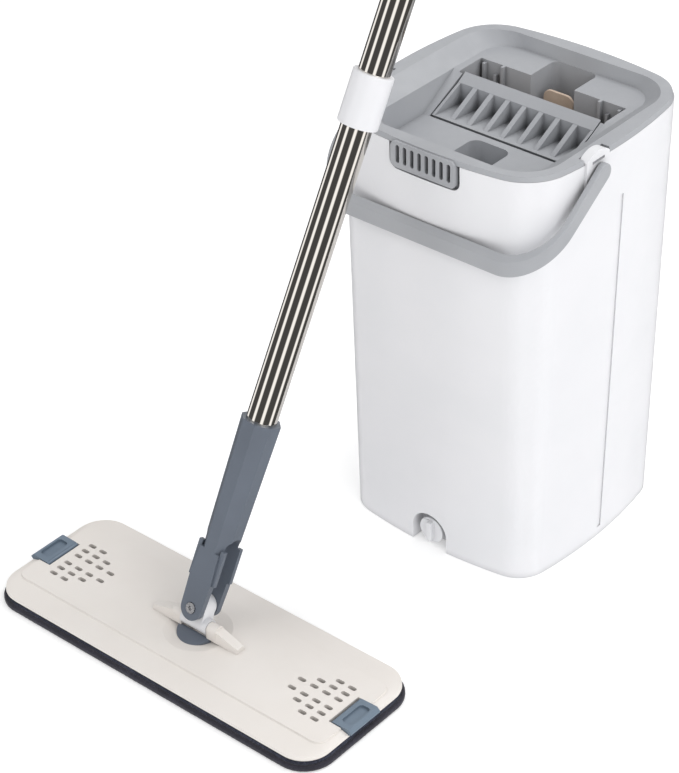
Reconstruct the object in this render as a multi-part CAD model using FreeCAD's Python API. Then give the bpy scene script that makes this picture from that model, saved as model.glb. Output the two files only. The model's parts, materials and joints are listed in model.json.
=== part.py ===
"""Flat mop and bucket with wringer: a tall square bucket with a wringing tray in its mouth,
and a flat mop that stands in front of it with its pole leaning back towards the bucket.

Lengths are millimetres.  While the pieces are made, X is the bucket's width, -Y is its front,
+Z is up and the zero point is the middle of the bucket's foot.  At the end the whole set is
moved so that the middle of its bounding box's underside is the origin.
"""
import FreeCAD, Part
import math
import os

V = FreeCAD.Vector
X_AXIS = V(1, 0, 0)
Y_AXIS = V(0, 1, 0)
Z_AXIS = V(0, 0, 1)

# ---- driving dimensions: bucket --------------------------------------------------------
RIM_Z = 364.0             # top of the bucket's wall
RIM_HALF = 104.5          # half width of the mouth, side to side and front to back
FOOT_HALF = 97.6          # half width of the foot
SIDE_BOW_R = 420.0        # radius of the slightly bowed sides
RIM_CORNER_R = 40.0
FOOT_CORNER_R = 28.5
WALL = 2.6
STEP_DEPTH = 1.1          # the rear part of each side stands back this far
FLOOR_Z = 6.0             # top of the bucket's floor
FOOT_RECESS = 3.0         # the floor's underside stands this far above the foot ring
FOOT_RING = 7.0           # width of the foot ring
RUN = 0.05                # radial clearance of a running fit
GAP = 0.4                 # clearance between pieces that only lie beside each other

# drain: a knob in an arched niche at the foot of the front wall
DRAIN_Z = 14.6
NICHE_R = 17.0
NICHE_DEPTH = 14.0
DRAIN_BORE_R = 6.0
KNOB_R = 11.5
KNOB_LENGTH = 9.0

# bail handle: an upright-sided band that follows the bucket's outline, seen from above
BAIL_PIVOT_Y = -31.5
BAIL_PIVOT_Z = 354.5
BAIL_DROOP = 36.0         # degrees below level at which the bail rests against the front
BAIL_FRONT = -110.2       # outer face of the front bar
BAIL_BAR = 5.6            # thickness of the front bar
BAIL_ARM = 5.0            # thickness of the side arms
BAIL_DEPTH = 9.4          # depth of the band at the front bar
BAIL_END_R = 7.4          # radius of the round ends at the pivots
BAIL_INNER_HALF = 105.6   # inside half width between the arms
BAIL_CORNER_R = 40.0
BAIL_STUB_R = 4.6

# ears that carry the bail, and the snap windows in them
EAR_HALF = 14.0
EAR_T = 7.4
EAR_TOP_Z = 371.5
WINDOW_Z = 363.4
WINDOW_HALF = 7.5
WINDOW_HEIGHT = 2.4

# tray
FLANGE_T = 4.0
TRAY_T = 2.4
DECK_Z = 357.5            # rear deck
LOW_DECK_Z = 336.5        # front floor
BASIN_SIDE = 92.0         # half width inside the flange
BASIN_FRONT = -93.0
BASIN_REAR = 90.5
BASIN_CORNER_R = 34.0
DECK_SIDE = 75.0
DECK_FRONT = -78.0
DECK_REAR = 86.8
DECK_CORNER_R = 24.0
LOW_SIDE = 71.0
LOW_FRONT = -72.0
SLOT_HALF = 68.5          # the mop's slot
SLOT_FRONT = 28.0
SLOT_REAR = 54.4
NOTCH_HALF = 20.6         # the notch for the mop's joint
NOTCH_REAR = 86.2
SKIRT_Z = 296.0           # lower edge of the slot's walls
POCKET_X = (-16.5, 19.5)
POCKET_Y = (-58.0, -22.0)
POCKET_DEPTH = 22.0

# overflow grille
GRILLE_HALF = 30.5
GRILLE_LOW_Z = 345.0
GRILLE_COUNT = 8
GRILLE_PITCH = 6.8
GRILLE_SLOT_W = 3.4
GRILLE_SLOT_Z = (349.2, 364.0)

# guide channel and tongue
GUIDE_HALF = 62.0
GUIDE_T = 2.4
GUIDE_Z = (24.0, 292.0)
GUIDE_WINDOWS = 5
GUIDE_WINDOW_PITCH = 46.0
TONGUE_Y = 62.6
TONGUE_T = 2.4
TONGUE_HALF = 14.2
TONGUE_TOP = 345.0

# wringer flap
FLAP_HALF = 64.0
FLAP_FRONT = (-13.6, 337.6)
FLAP_BAR = ((28.0, 357.5), (19.0, 352.2))
FLAP_POCKET = (19.0, 334.5)
FLAP_RIBS = 7
FLAP_RIB_PITCH = 15.75
FLAP_RIB_W = 4.2
FLAP_HINGE = (-7.0, 329.8)
FLAP_ROD_R = 1.6
FLAP_ROD_HALF = 70.5
SPRING_X = 46.0
SPRING_WIRE = 1.1
SPRING_R = 2.8
SPRING_TURNS = 6

# ---- driving dimensions: mop -----------------------------------------------------------
PLATE_CENTRE = V(-61.9, -304.7, 0)
PLATE_L = 330.0
PLATE_W = 123.0
PLATE_CORNER_R = 24.7
PAD_OVERHANG = 2.6
PAD_TOP = 7.6
BASE_TOP = 10.0
EDGE_TOP = 12.4
BAND_TOP = 13.8
PLATEAU_TOP = 15.2
PLATEAU_HALF_W = 40.5
PLATEAU_HALF_L = 158.0
HOLE_L = 7.6
HOLE_W = 3.6
HOLE_COLUMNS = ((136.5, (5.7, 13.7, 21.7)), (124.8, (5.7, 13.7, 21.7)),
                (112.9, (5.7, 13.7)), (100.8, (5.7,)))
DISH_R = 27.0
DISH_SINK = 4.2
CUP_R = 16.8              # the half-moon cup in front of the joint
CUP_CHORD_Y = -3.6
CUP_RISE = 0.6            # its straight edge stands this far over the plateau
CUP_LOW_Z = 12.4          # its round edge
CLIP_X = (147.0, 166.4)
CLIP_HALF = 16.5
CLIP_PIN_Z = 13.6
CLIP_PIN_R = 1.3
AXLE_Z = 23.0
AXLE_R = 2.5
HUB_INNER = 13.4
WING_TIP = 44.0
WING_TIP_RISE = 3.8       # how high the wing's tip stands over the plateau
PIN_RISE = 13.0           # from the axle to the yoke's pin
PIN_R = 2.5
SCREW_HEAD_R = 4.4
KNUCKLE_HALF = 7.4        # half thickness between the yoke's cheeks
CHEEK = (7.6, 12.6)        # inside and outside of a cheek, from the middle
CHEEK_R = 10.0            # round end of a cheek
FIN_X = (9.6, 13.2)       # the stepped ribs down both edges of a cheek
FIN_Z = (24.0, 54.0)
FORK_DEPTH = 56.0         # how far up the fork is open
LEAN = 23.0               # degrees that the pole leans back towards the bucket
TILT = 5.1                # degrees that it leans towards +X
SHANK_TOP = 159.0
SHANK_LOW_HALF = 12.6
SHANK_TOP_HALF = 14.7
TUBE_R = 12.0
TUBE_WALL = 0.8
TUBE_START = 118.0        # distances along the pole are measured from the yoke's pin
SLEEVES = (415.0, 712.0)
SLEEVE_HALF = 20.0
SLEEVE_R = 15.4
TUBE_END = 1096.0
GRIP = (962.0, 1100.0)
GRIP_R = 15.5
CAP_TOP = 1128.0
HANG_HOLE_R = 5.0


# ---- helpers ---------------------------------------------------------------------------
def box(x0, x1, y0, y1, z0, z1):
    """A box between two corners."""
    return Part.makeBox(x1 - x0, y1 - y0, z1 - z0, V(x0, y0, z0))


def cyl_x(r, x0, x1, y, z):
    """A cylinder along X."""
    return Part.makeCylinder(r, x1 - x0, V(x0, y, z), X_AXIS)


def cyl_y(r, y0, y1, x, z):
    """A cylinder along Y."""
    return Part.makeCylinder(r, y1 - y0, V(x, y0, z), Y_AXIS)


def cyl_z(r, z0, z1, x=0.0, y=0.0):
    """A cylinder along Z."""
    return Part.makeCylinder(r, z1 - z0, V(x, y, z0), Z_AXIS)


def prism_x(points, x0, x1):
    """A (y, z) outline drawn out along X."""
    wire = Part.makePolygon([V(x0, y, z) for y, z in points] + [V(x0, *points[0])])
    return Part.Face(wire).extrude(V(x1 - x0, 0, 0))


def prism_y(points, y0, y1):
    """An (x, z) outline drawn out along Y."""
    wire = Part.makePolygon([V(x, y0, z) for x, z in points] + [V(points[0][0], y0, points[0][1])])
    return Part.Face(wire).extrude(V(0, y1 - y0, 0))


def arc(a, b, c):
    """A circular edge through three points."""
    return Part.Arc(a, b, c).toShape()


def bowed_square(half, corner_r, z):
    """A square with gently bowed sides and round corners, all tangent."""
    side = half - SIDE_BOW_R
    reach = SIDE_BOW_R - corner_r
    # the corner's centre is this far out along both axes
    centre = (side + math.sqrt(2.0 * reach * reach - side * side)) / 2.0
    turn = math.atan2(centre, centre - side)
    edges = []
    for quarter in range(4):
        base = math.pi / 2.0 * quarter

        def at(cx, cy, radius, angle):
            px = cx + radius * math.cos(angle)
            py = cy + radius * math.sin(angle)
            return V(px * math.cos(base) - py * math.sin(base),
                     px * math.sin(base) + py * math.cos(base), z)

        edges.append(arc(at(side, 0, SIDE_BOW_R, -turn), at(side, 0, SIDE_BOW_R, 0),
                         at(side, 0, SIDE_BOW_R, turn)))
        edges.append(arc(at(centre, centre, corner_r, turn),
                         at(centre, centre, corner_r, math.pi / 4.0),
                         at(centre, centre, corner_r, math.pi / 2.0 - turn)))
    return Part.Wire(edges)


def bowed_tower(half0, r0, z0, half1, r1, z1):
    """A tapered solid between two bowed squares."""
    return Part.makeLoft([bowed_square(half0, r0, z0), bowed_square(half1, r1, z1)], True, True)


def round_rect(x0, x1, y0, y1, r, z):
    """A rectangle with round corners."""
    k = r * (1.0 - math.sqrt(0.5))
    return Part.Wire([
        Part.LineSegment(V(x0 + r, y0, z), V(x1 - r, y0, z)).toShape(),
        arc(V(x1 - r, y0, z), V(x1 - k, y0 + k, z), V(x1, y0 + r, z)),
        Part.LineSegment(V(x1, y0 + r, z), V(x1, y1 - r, z)).toShape(),
        arc(V(x1, y1 - r, z), V(x1 - k, y1 - k, z), V(x1 - r, y1, z)),
        Part.LineSegment(V(x1 - r, y1, z), V(x0 + r, y1, z)).toShape(),
        arc(V(x0 + r, y1, z), V(x0 + k, y1 - k, z), V(x0, y1 - r, z)),
        Part.LineSegment(V(x0, y1 - r, z), V(x0, y0 + r, z)).toShape(),
        arc(V(x0, y0 + r, z), V(x0 + k, y0 + k, z), V(x0 + r, y0, z)),
    ])


def slab(x0, x1, y0, y1, r, z0, z1):
    """A flat slab with round corners."""
    return Part.Face(round_rect(x0, x1, y0, y1, r, z0)).extrude(V(0, 0, z1 - z0))


def tapered(low, high):
    """A tapered solid between two rounded rectangles, each (x0, x1, y0, y1, r, z)."""
    return Part.makeLoft([round_rect(*low), round_rect(*high)], True, True)


def fuse(shapes):
    """The shapes joined into one, with coplanar faces merged."""
    first = shapes[0]
    return first.multiFuse(shapes[1:]).removeSplitter() if len(shapes) > 1 else first


def mirrored_x(shape):
    """The shape's mirror image across the plane X = 0."""
    return shape.mirror(V(0, 0, 0), X_AXIS)


def wall_half(z, inset=0.0):
    """The bucket wall's half width at height z, at the middle of a side."""
    return FOOT_HALF + (RIM_HALF - FOOT_HALF) * z / RIM_Z - inset


def wall_corner(z):
    """The bucket wall's corner radius at height z."""
    return FOOT_CORNER_R + (RIM_CORNER_R - FOOT_CORNER_R) * z / RIM_Z


# ---- bucket ----------------------------------------------------------------------------
def arch(r, y0, y1):
    """An upright arch about the drain's axis, open at the foot, along Y."""
    post = box(-r, r, y0, y1, -1.0, DRAIN_Z)
    return post.fuse(cyl_y(r, y0, y1, 0, DRAIN_Z))


def ear_outline(half, top):
    """The ear's side view: a low hump over the bail's pivot."""
    y = BAIL_PIVOT_Y
    low = 340.0
    mid = RIM_Z + 2.0
    edges = [
        Part.LineSegment(V(0, y - half, low), V(0, y + half, low)).toShape(),
        Part.LineSegment(V(0, y + half, low), V(0, y + half, mid)).toShape(),
        arc(V(0, y + half, mid), V(0, y, top), V(0, y - half, mid)),
        Part.LineSegment(V(0, y - half, mid), V(0, y - half, low)).toShape(),
    ]
    return Part.Face(Part.Wire(edges))


def ear(side):
    """A thick pad on the side wall that stands up past the rim."""
    face = ear_outline(EAR_HALF, EAR_TOP_Z)
    outer = wall_half(BAIL_PIVOT_Z) - 0.3
    face.translate(V(outer - EAR_T, 0, 0))
    body = face.extrude(V(EAR_T, 0, 0))
    return body if side > 0 else mirrored_x(body)


def snap_window(side):
    """The slit under the ear's crown that the tray's hook shows through."""
    y = BAIL_PIVOT_Y
    z = WINDOW_Z
    cut = box(90, 110, y - WINDOW_HALF, y + WINDOW_HALF, z - WINDOW_HEIGHT / 2, z + WINDOW_HEIGHT / 2)
    return cut if side > 0 else mirrored_x(cut)


def bucket_shell():
    """The bucket: one moulding with a drain niche, ears and a shallow step down each side."""
    outer = bowed_tower(FOOT_HALF, FOOT_CORNER_R, 0, RIM_HALF, RIM_CORNER_R, RIM_Z)
    inner = bowed_tower(wall_half(FLOOR_Z, WALL), wall_corner(FLOOR_Z) - WALL, FLOOR_Z,
                        wall_half(RIM_Z + 8, WALL), RIM_CORNER_R - WALL, RIM_Z + 8)
    niche_y = -wall_half(DRAIN_Z) + NICHE_DEPTH
    housing = arch(NICHE_R + WALL, -wall_half(0) - 8, niche_y + WALL)
    inner = inner.cut(housing)
    body = outer.cut(inner)
    body = body.cut(arch(NICHE_R, -wall_half(0) - 12, niche_y))
    body = body.cut(cyl_y(DRAIN_BORE_R + GAP, niche_y - 2, niche_y + WALL + 2, 0, DRAIN_Z))
    ring = FOOT_HALF - FOOT_RING
    body = body.cut(bowed_tower(ring, FOOT_CORNER_R - FOOT_RING, -1, ring, FOOT_CORNER_R - FOOT_RING, FOOT_RECESS)
                    .cut(arch(NICHE_R + WALL, -wall_half(0) - 8, niche_y + WALL)))
    # the wall drops away at the front to let the grille through
    drop = slab(-GRILLE_HALF - 2.2, GRILLE_HALF + 2.2, GRILLE_LOW_Z - 2.0, RIM_Z + 12, 7.0, -130, -80)
    drop.rotate(V(0, 0, 0), X_AXIS, 90)
    drop.translate(V(0, -210, 0))
    body = body.cut(drop)
    for side in (1, -1):
        body = body.fuse(ear(side))
        body = body.cut(snap_window(side))
        hole = cyl_x(BAIL_STUB_R + RUN, 90, 112, BAIL_PIVOT_Y, BAIL_PIVOT_Z)
        body = body.cut(hole if side > 0 else mirrored_x(hole))
        # the shallow upright step in each side wall
        step = prism_x([(-2.2, 8), (2.4, 8), (3.9, 320), (-0.7, 320)], 94.0, 104.0)
        wall_skin = bowed_tower(wall_half(0, STEP_DEPTH), FOOT_CORNER_R, 0,
                                wall_half(RIM_Z, STEP_DEPTH), RIM_CORNER_R, RIM_Z)
        step = step.cut(wall_skin)
        body = body.cut(step if side > 0 else mirrored_x(step))
    return body.removeSplitter()


def drain_plug():
    """The screw-in drain knob with a raised grip bar."""
    y1 = -wall_half(DRAIN_Z) + NICHE_DEPTH
    head = cyl_y(KNOB_R, y1 - 2.4 - KNOB_LENGTH, y1 - 2.4, 0, DRAIN_Z)
    bar = box(-2.2, 2.2, y1 - 2.4 - KNOB_LENGTH - 4.0, y1 - 2.4 - KNOB_LENGTH, DRAIN_Z - 9, DRAIN_Z + 9)
    stem = cyl_y(DRAIN_BORE_R, y1 - 2.4, y1 + WALL + 6.0, 0, DRAIN_Z)
    return fuse([head, bar, stem])


def drain_seal():
    """The rubber ring under the drain knob's head."""
    y1 = -wall_half(DRAIN_Z) + NICHE_DEPTH
    ring = cyl_y(9.0, y1 - 2.3, y1 - 0.1, 0, DRAIN_Z)
    return ring.cut(cyl_y(DRAIN_BORE_R, y1 - 3.0, y1 + 1.0, 0, DRAIN_Z))


def bail_outline(half, front, r):
    """The bail seen from above: two arms and a front bar with round corners."""
    k = r * (1.0 - math.sqrt(0.5))
    end = BAIL_PIVOT_Y + BAIL_END_R + 1.0
    return Part.Face(Part.Wire([
        Part.LineSegment(V(half, end, 0), V(half, front + r, 0)).toShape(),
        arc(V(half, front + r, 0), V(half - k, front + k, 0), V(half - r, front, 0)),
        Part.LineSegment(V(half - r, front, 0), V(-half + r, front, 0)).toShape(),
        arc(V(-half + r, front, 0), V(-half + k, front + k, 0), V(-half, front + r, 0)),
        Part.LineSegment(V(-half, front + r, 0), V(-half, end, 0)).toShape(),
        Part.LineSegment(V(-half, end, 0), V(half, end, 0)).toShape(),
    ]))


def bail_handle():
    """The swinging carrying handle, resting against the bucket's front."""
    tall = 200.0
    half_out = BAIL_INNER_HALF + BAIL_ARM
    outer = bail_outline(half_out, BAIL_FRONT, BAIL_CORNER_R).extrude(V(0, 0, tall))
    inner = bail_outline(BAIL_INNER_HALF, BAIL_FRONT + BAIL_BAR, BAIL_CORNER_R - BAIL_ARM)
    inner = inner.extrude(V(0, 0, tall))
    band = outer.cut(inner)
    band.translate(V(0, 0, BAIL_PIVOT_Z - 150.0))
    # side view about the pivot: round ends, narrowing gently to the front bar
    end = BAIL_END_R
    depth = BAIL_DEPTH / 2
    far = 130.0
    waist = 62.0
    side = Part.Face(Part.Wire([
        arc(V(0, 0, end), V(0, end, 0), V(0, 0, -end)),
        Part.LineSegment(V(0, 0, -end), V(0, -waist, -depth - 1.0)).toShape(),
        Part.LineSegment(V(0, -waist, -depth - 1.0), V(0, -far, -depth)).toShape(),
        Part.LineSegment(V(0, -far, -depth), V(0, -far, depth)).toShape(),
        Part.LineSegment(V(0, -far, depth), V(0, -waist, depth + 1.0)).toShape(),
        Part.LineSegment(V(0, -waist, depth + 1.0), V(0, 0, end)).toShape(),
    ]))
    side.rotate(V(0, 0, 0), X_AXIS, BAIL_DROOP)
    side.translate(V(-half_out - 2, BAIL_PIVOT_Y, BAIL_PIVOT_Z))
    band = band.common(side.extrude(V(2 * half_out + 4, 0, 0)))
    stub_in = wall_half(BAIL_PIVOT_Z) - EAR_T + 0.4
    y = BAIL_PIVOT_Y
    z = BAIL_PIVOT_Z
    return band.fuse([cyl_x(BAIL_STUB_R, stub_in, BAIL_INNER_HALF + 1, y, z),
                      cyl_x(BAIL_STUB_R, -BAIL_INNER_HALF - 1, -stub_in, y, z)]).removeSplitter()


# ---- tray and wringer ------------------------------------------------------------------
def basin(grow):
    """The basin's hollow; with grow it is the basin's outside instead."""
    g = grow
    lift = 1.0 if g == 0 else 0.0
    mouth = (-BASIN_SIDE - g, BASIN_SIDE + g, BASIN_FRONT - g, BASIN_REAR + g, BASIN_CORNER_R + g,
             RIM_Z + FLANGE_T + lift)
    shoulder = (-DECK_SIDE - g, DECK_SIDE + g, DECK_FRONT - g, DECK_REAR + g, DECK_CORNER_R + g, DECK_Z - g)
    low = (-LOW_SIDE - g, LOW_SIDE + g, LOW_FRONT - g, DECK_REAR - 6 + g,
           DECK_CORNER_R - 6 + g, LOW_DECK_Z - g)
    upper = tapered(mouth, shoulder)
    lower = tapered(shoulder, low)
    y_low, z_low = FLAP_FRONT
    floor_line = prism_x([(-110, LOW_DECK_Z - g), (y_low - 1.5, LOW_DECK_Z - g), (SLOT_FRONT, DECK_Z - g),
                          (SLOT_FRONT, DECK_Z + 2), (-110, DECK_Z + 2)], -100, 100)
    return upper.fuse(lower.common(floor_line))


def slot_void(grow, z0, z1):
    """The mop's slot with the notch behind it."""
    g = grow
    slot = box(-SLOT_HALF - g, SLOT_HALF + g, SLOT_FRONT - 2.0 - g, SLOT_REAR + g, z0, z1)
    notch = slab(-NOTCH_HALF - g, NOTCH_HALF + g, SLOT_REAR - 20, NOTCH_REAR + g, 6.0 + g, z0, z1)
    return slot.fuse(notch)


def flap_well(grow):
    """The opening in the sloping floor that the flap closes."""
    g = grow
    half = FLAP_HALF + 1.4 + g
    y_front = FLAP_FRONT[0] - 1.4 - g
    return box(-half, half, y_front, SLOT_FRONT + g, 326.0 - (4.0 if g == 0 else 0), DECK_Z + 8)


def wringer_tray():
    """The tray that drops into the bucket's mouth."""
    rim = bowed_tower(RIM_HALF - 0.2, RIM_CORNER_R, RIM_Z + 0.2,
                      RIM_HALF - 1.4, RIM_CORNER_R - 1.2, RIM_Z + FLANGE_T)
    lip_in = WALL + GAP
    skirt = bowed_tower(wall_half(342, lip_in), wall_corner(342) - lip_in, 342,
                        wall_half(RIM_Z, lip_in), RIM_CORNER_R - lip_in, RIM_Z + 1)
    skirt = skirt.cut(bowed_tower(wall_half(342, lip_in + 2), wall_corner(342) - lip_in - 2, 341,
                                  wall_half(RIM_Z, lip_in + 2), RIM_CORNER_R - lip_in - 2, RIM_Z + 2))
    under = basin(TRAY_T)
    well = flap_well(TRAY_T)
    tower = slot_void(TRAY_T, SKIRT_Z, DECK_Z)
    pocket_out = slab(POCKET_X[0] - TRAY_T, POCKET_X[1] + TRAY_T, POCKET_Y[0] - TRAY_T, POCKET_Y[1] + TRAY_T,
                      8.0 + TRAY_T, LOW_DECK_Z - POCKET_DEPTH - TRAY_T, LOW_DECK_Z)
    inner_limit = bowed_tower(wall_half(280, lip_in), wall_corner(280) - lip_in, 280,
                              wall_half(RIM_Z + 8, lip_in), RIM_CORNER_R - lip_in, RIM_Z + 8)
    well = well.common(inner_limit).common(box(-110, 110, -110, 110, 320, DECK_Z))
    body = fuse([rim, skirt, under, well, tower.common(inner_limit), pocket_out])
    body = body.cut(basin(0))
    body = body.cut(flap_well(0))
    body = body.cut(slot_void(0, SKIRT_Z - 5, RIM_Z + 10))
    body = body.cut(slab(POCKET_X[0], POCKET_X[1], POCKET_Y[0], POCKET_Y[1], 8.0,
                         LOW_DECK_Z - POCKET_DEPTH, LOW_DECK_Z + 4))
    # upright ribs on the slot's rear wall steady the mop's back
    ribs = []
    for x, top in ((46.0, DECK_Z), (53.0, DECK_Z - 9), (64.0, DECK_Z - 2)):
        for side in (1, -1):
            ribs.append(box(side * x - 1.2, side * x + 1.2, SLOT_REAR - 3.6, SLOT_REAR + 0.5, SKIRT_Z + 6, top))
    # lugs for the flap's rod at both ends of the well
    y, z = FLAP_HINGE
    for side in (1, -1):
        x0 = FLAP_HALF + 1.4
        lug = box(x0 - 0.2, x0 + TRAY_T + 3.0, y - 5, y + 5, z - 5, z + 8)
        ribs.append(lug if side > 0 else mirrored_x(lug))
    body = body.fuse(ribs)
    body = body.cut(cyl_x(FLAP_ROD_R, -FLAP_ROD_HALF, FLAP_ROD_HALF, y, z))
    # grille tab hanging through the drop in the front wall
    front = -wall_half(355) - 0.6
    tab = slab(-GRILLE_HALF, GRILLE_HALF, GRILLE_LOW_Z, RIM_Z + 3, 5.5, 0, 5.0)
    tab.rotate(V(0, 0, 0), X_AXIS, 90)
    tab.translate(V(0, front + 5.0, 0))
    body = body.fuse(tab)
    slots = []
    for i in range(GRILLE_COUNT):
        x = (i - (GRILLE_COUNT - 1) / 2.0) * GRILLE_PITCH
        z0, z1 = GRILLE_SLOT_Z
        cut = slab(x - GRILLE_SLOT_W / 2, x + GRILLE_SLOT_W / 2, z0, z1, GRILLE_SLOT_W / 2 - 0.01, 0, 16.0)
        cut.rotate(V(0, 0, 0), X_AXIS, 90)
        cut.translate(V(0, front + 12.0, 0))
        slots.append(cut)
    body = body.cut(slots)
    # the flange stops short of the ears, and hooks reach into their windows
    ear_in = wall_half(BAIL_PIVOT_Z) - 0.3 - EAR_T
    y0 = BAIL_PIVOT_Y - EAR_HALF
    y1 = BAIL_PIVOT_Y + EAR_HALF
    for side in (1, -1):
        cut = box(ear_in - GAP, 120, y0 - GAP, y1 + GAP, 336, 380)
        hook = box(88, wall_half(WINDOW_Z) - 1.2,
                   BAIL_PIVOT_Y - WINDOW_HALF + GAP, BAIL_PIVOT_Y + WINDOW_HALF - GAP,
                   WINDOW_Z - WINDOW_HEIGHT / 2 + 0.2, WINDOW_Z + WINDOW_HEIGHT / 2 - 0.2)
        bridge = box(86, ear_in - GAP, y0, y1, WINDOW_Z - 3.0, RIM_Z + 0.2)
        if side < 0:
            cut, hook, bridge = [mirrored_x(s) for s in (cut, hook, bridge)]
        body = body.cut(cut).fuse([hook, bridge]).cut(basin(0))
    return body.removeSplitter()


def wringer_flap():
    """The sprung flap: a sloping floor, stiffening ribs and a flat-topped bar at its rear."""
    y_f, z_f = FLAP_FRONT
    (y_r, z_r), (y_b, z_b) = FLAP_BAR
    y_p, z_p = FLAP_POCKET
    floor = prism_x([(y_f, z_f), (y_p, z_p), (y_p, z_b), (y_r, z_r), (y_r, z_p - 3.0), (y_p, z_p - 3.0),
                     (y_f + 1.0, z_f - 3.0)], -FLAP_HALF, FLAP_HALF)
    hollow = prism_x([(y_p + 2.2, z_p - 4.0), (y_p + 2.2, z_b - 1.6),
                      (y_r - 2.4, z_r - 3.4), (y_r - 2.4, z_p - 4.0)],
                     -FLAP_HALF + 3, FLAP_HALF - 3)
    parts = [floor.cut(hollow)]
    for i in range(FLAP_RIBS):
        x = (i - (FLAP_RIBS - 1) / 2.0) * FLAP_RIB_PITCH
        parts.append(prism_x([(y_f + 3.5, z_f - 1.0), (y_f + 4.5, z_f),
                              (y_p + 0.5, z_b), (y_p + 0.5, z_p - 1.0)],
                             x - FLAP_RIB_W / 2, x + FLAP_RIB_W / 2))
    for side in (1, -1):
        wall = prism_x([(y_f, z_f - 0.4), (y_f, z_f), (y_p + 0.5, z_b), (y_p + 0.5, z_p - 1.0)],
                       FLAP_HALF - 2.4, FLAP_HALF)
        parts.append(wall if side > 0 else mirrored_x(wall))
    y_h, z_h = FLAP_HINGE
    knuckles = []
    for x in (-58.0, -30.0, 30.0, 58.0):
        knuckles.append(cyl_x(4.2, x - 4, x + 4, y_h, z_h))
        knuckles.append(box(x - 4, x + 4, y_h - 4.0, y_h + 4.2, z_h, z_f - 2.6))
    body = fuse(parts + knuckles)
    return body.cut(cyl_x(FLAP_ROD_R + RUN, -FLAP_ROD_HALF, FLAP_ROD_HALF, y_h, z_h)).removeSplitter()


def scraper_blade():
    """The soft scraping lip along the flap's rear edge."""
    y_r, z_r = FLAP_BAR[0]
    half = FLAP_HALF - 1.5
    top = z_r - 2.4
    web = box(-half, half, y_r, y_r + 1.2, 338.0, top)
    lip = prism_x([(y_r + 1.2, top), (y_r + 3.6, top - 2.4), (y_r + 1.2, top - 6.0)], -half, half)
    return fuse([web, lip])


def flap_hinge_rod():
    """The steel rod that the flap turns on."""
    return cyl_x(FLAP_ROD_R, -FLAP_ROD_HALF + 1, FLAP_ROD_HALF - 1, *FLAP_HINGE)


def flap_spring(side):
    """A torsion spring: a close coil round the rod with a leg under the flap."""
    y, z = FLAP_HINGE
    length = SPRING_TURNS * (SPRING_WIRE + 0.25)
    helix = Part.makeHelix(SPRING_WIRE + 0.25, length, SPRING_R)
    section = Part.Wire([Part.makeCircle(SPRING_WIRE / 2, V(SPRING_R, 0, 0), Y_AXIS)])
    coil = Part.Wire(helix).makePipeShell([section], True, True)
    coil.rotate(V(0, 0, 0), Y_AXIS, 90)
    coil.translate(V(side * SPRING_X - length / 2, y, z))
    return coil


def guide_channel():
    """The panel and side rails that hold the mop upright inside the bucket."""
    y1 = NOTCH_REAR + TRAY_T
    half = GUIDE_HALF + GUIDE_T
    panel = slab(-half, half, GUIDE_Z[0], GUIDE_Z[1], 6.0, 0, GUIDE_T)
    for i in range(GUIDE_WINDOWS):
        z = GUIDE_Z[0] + 24.0 + GUIDE_WINDOW_PITCH * i
        panel = panel.cut(slab(-44, 44, z, z + 18.0, 8.0, -1, GUIDE_T + 1))
    panel.rotate(V(0, 0, 0), X_AXIS, 90)
    panel.translate(V(0, y1, 0))
    parts = [panel]
    for side in (1, -1):
        rail = box(GUIDE_HALF, half, SLOT_FRONT + 6, y1 - 0.5, *GUIDE_Z)
        lip = box(GUIDE_HALF, half + 6, SLOT_FRONT + 6, SLOT_FRONT + 6 + GUIDE_T, *GUIDE_Z)
        foot = box(GUIDE_HALF, half + 8, SLOT_REAR, SLOT_REAR + 10, FLOOR_Z, GUIDE_Z[0] + 2)
        for piece in (rail, lip, foot):
            parts.append(piece if side > 0 else mirrored_x(piece))
    return fuse(parts)


def wiper_tongue():
    """The soft tongue across the notch, which bends away as the mop's joint goes past."""
    strip = box(-NOTCH_HALF, NOTCH_HALF, 0, TONGUE_T, SKIRT_Z + 2, SKIRT_Z + 16)
    blade = slab(-TONGUE_HALF, TONGUE_HALF, SKIRT_Z + 4, TONGUE_TOP, 7.0, 0, TONGUE_T)
    blade.rotate(V(0, 0, 0), X_AXIS, 90)
    blade.translate(V(0, TONGUE_T, 0))
    tongue = fuse([strip, blade])
    tongue.translate(V(0, TONGUE_Y, 0))
    return tongue


# ---- mop head (made about the plate's centre) --------------------------------------------
def plate_rect(grow, r, z):
    """The mop plate's outline grown outwards by grow."""
    return (-PLATE_L / 2 - grow, PLATE_L / 2 + grow, -PLATE_W / 2 - grow, PLATE_W / 2 + grow, r, z)


def drain_slots(z0, z1):
    """The slots through both ends of the plate."""
    cuts = []
    for x, rows in HOLE_COLUMNS:
        for y in rows:
            for sx in (1, -1):
                for sy in (1, -1):
                    cx = sx * x
                    cy = sy * y
                    cuts.append(slab(cx - HOLE_L / 2, cx + HOLE_L / 2, cy - HOLE_W / 2, cy + HOLE_W / 2,
                                     HOLE_W / 2 - 0.01, z0, z1))
    return cuts


def clip_pocket(side):
    """The pocket in the plate's end that a clip lies in."""
    x0, x1 = CLIP_X
    cut = box(x0 - 0.8, x1 + 4, -CLIP_HALF - 0.5, CLIP_HALF + 0.5, 11.0, 20)
    pin = cyl_y(CLIP_PIN_R, -CLIP_HALF - 3.0, CLIP_HALF + 3.0, x0 + 3.0, CLIP_PIN_Z)
    cut = cut.fuse(pin)
    return cut if side > 0 else mirrored_x(cut)


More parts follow.
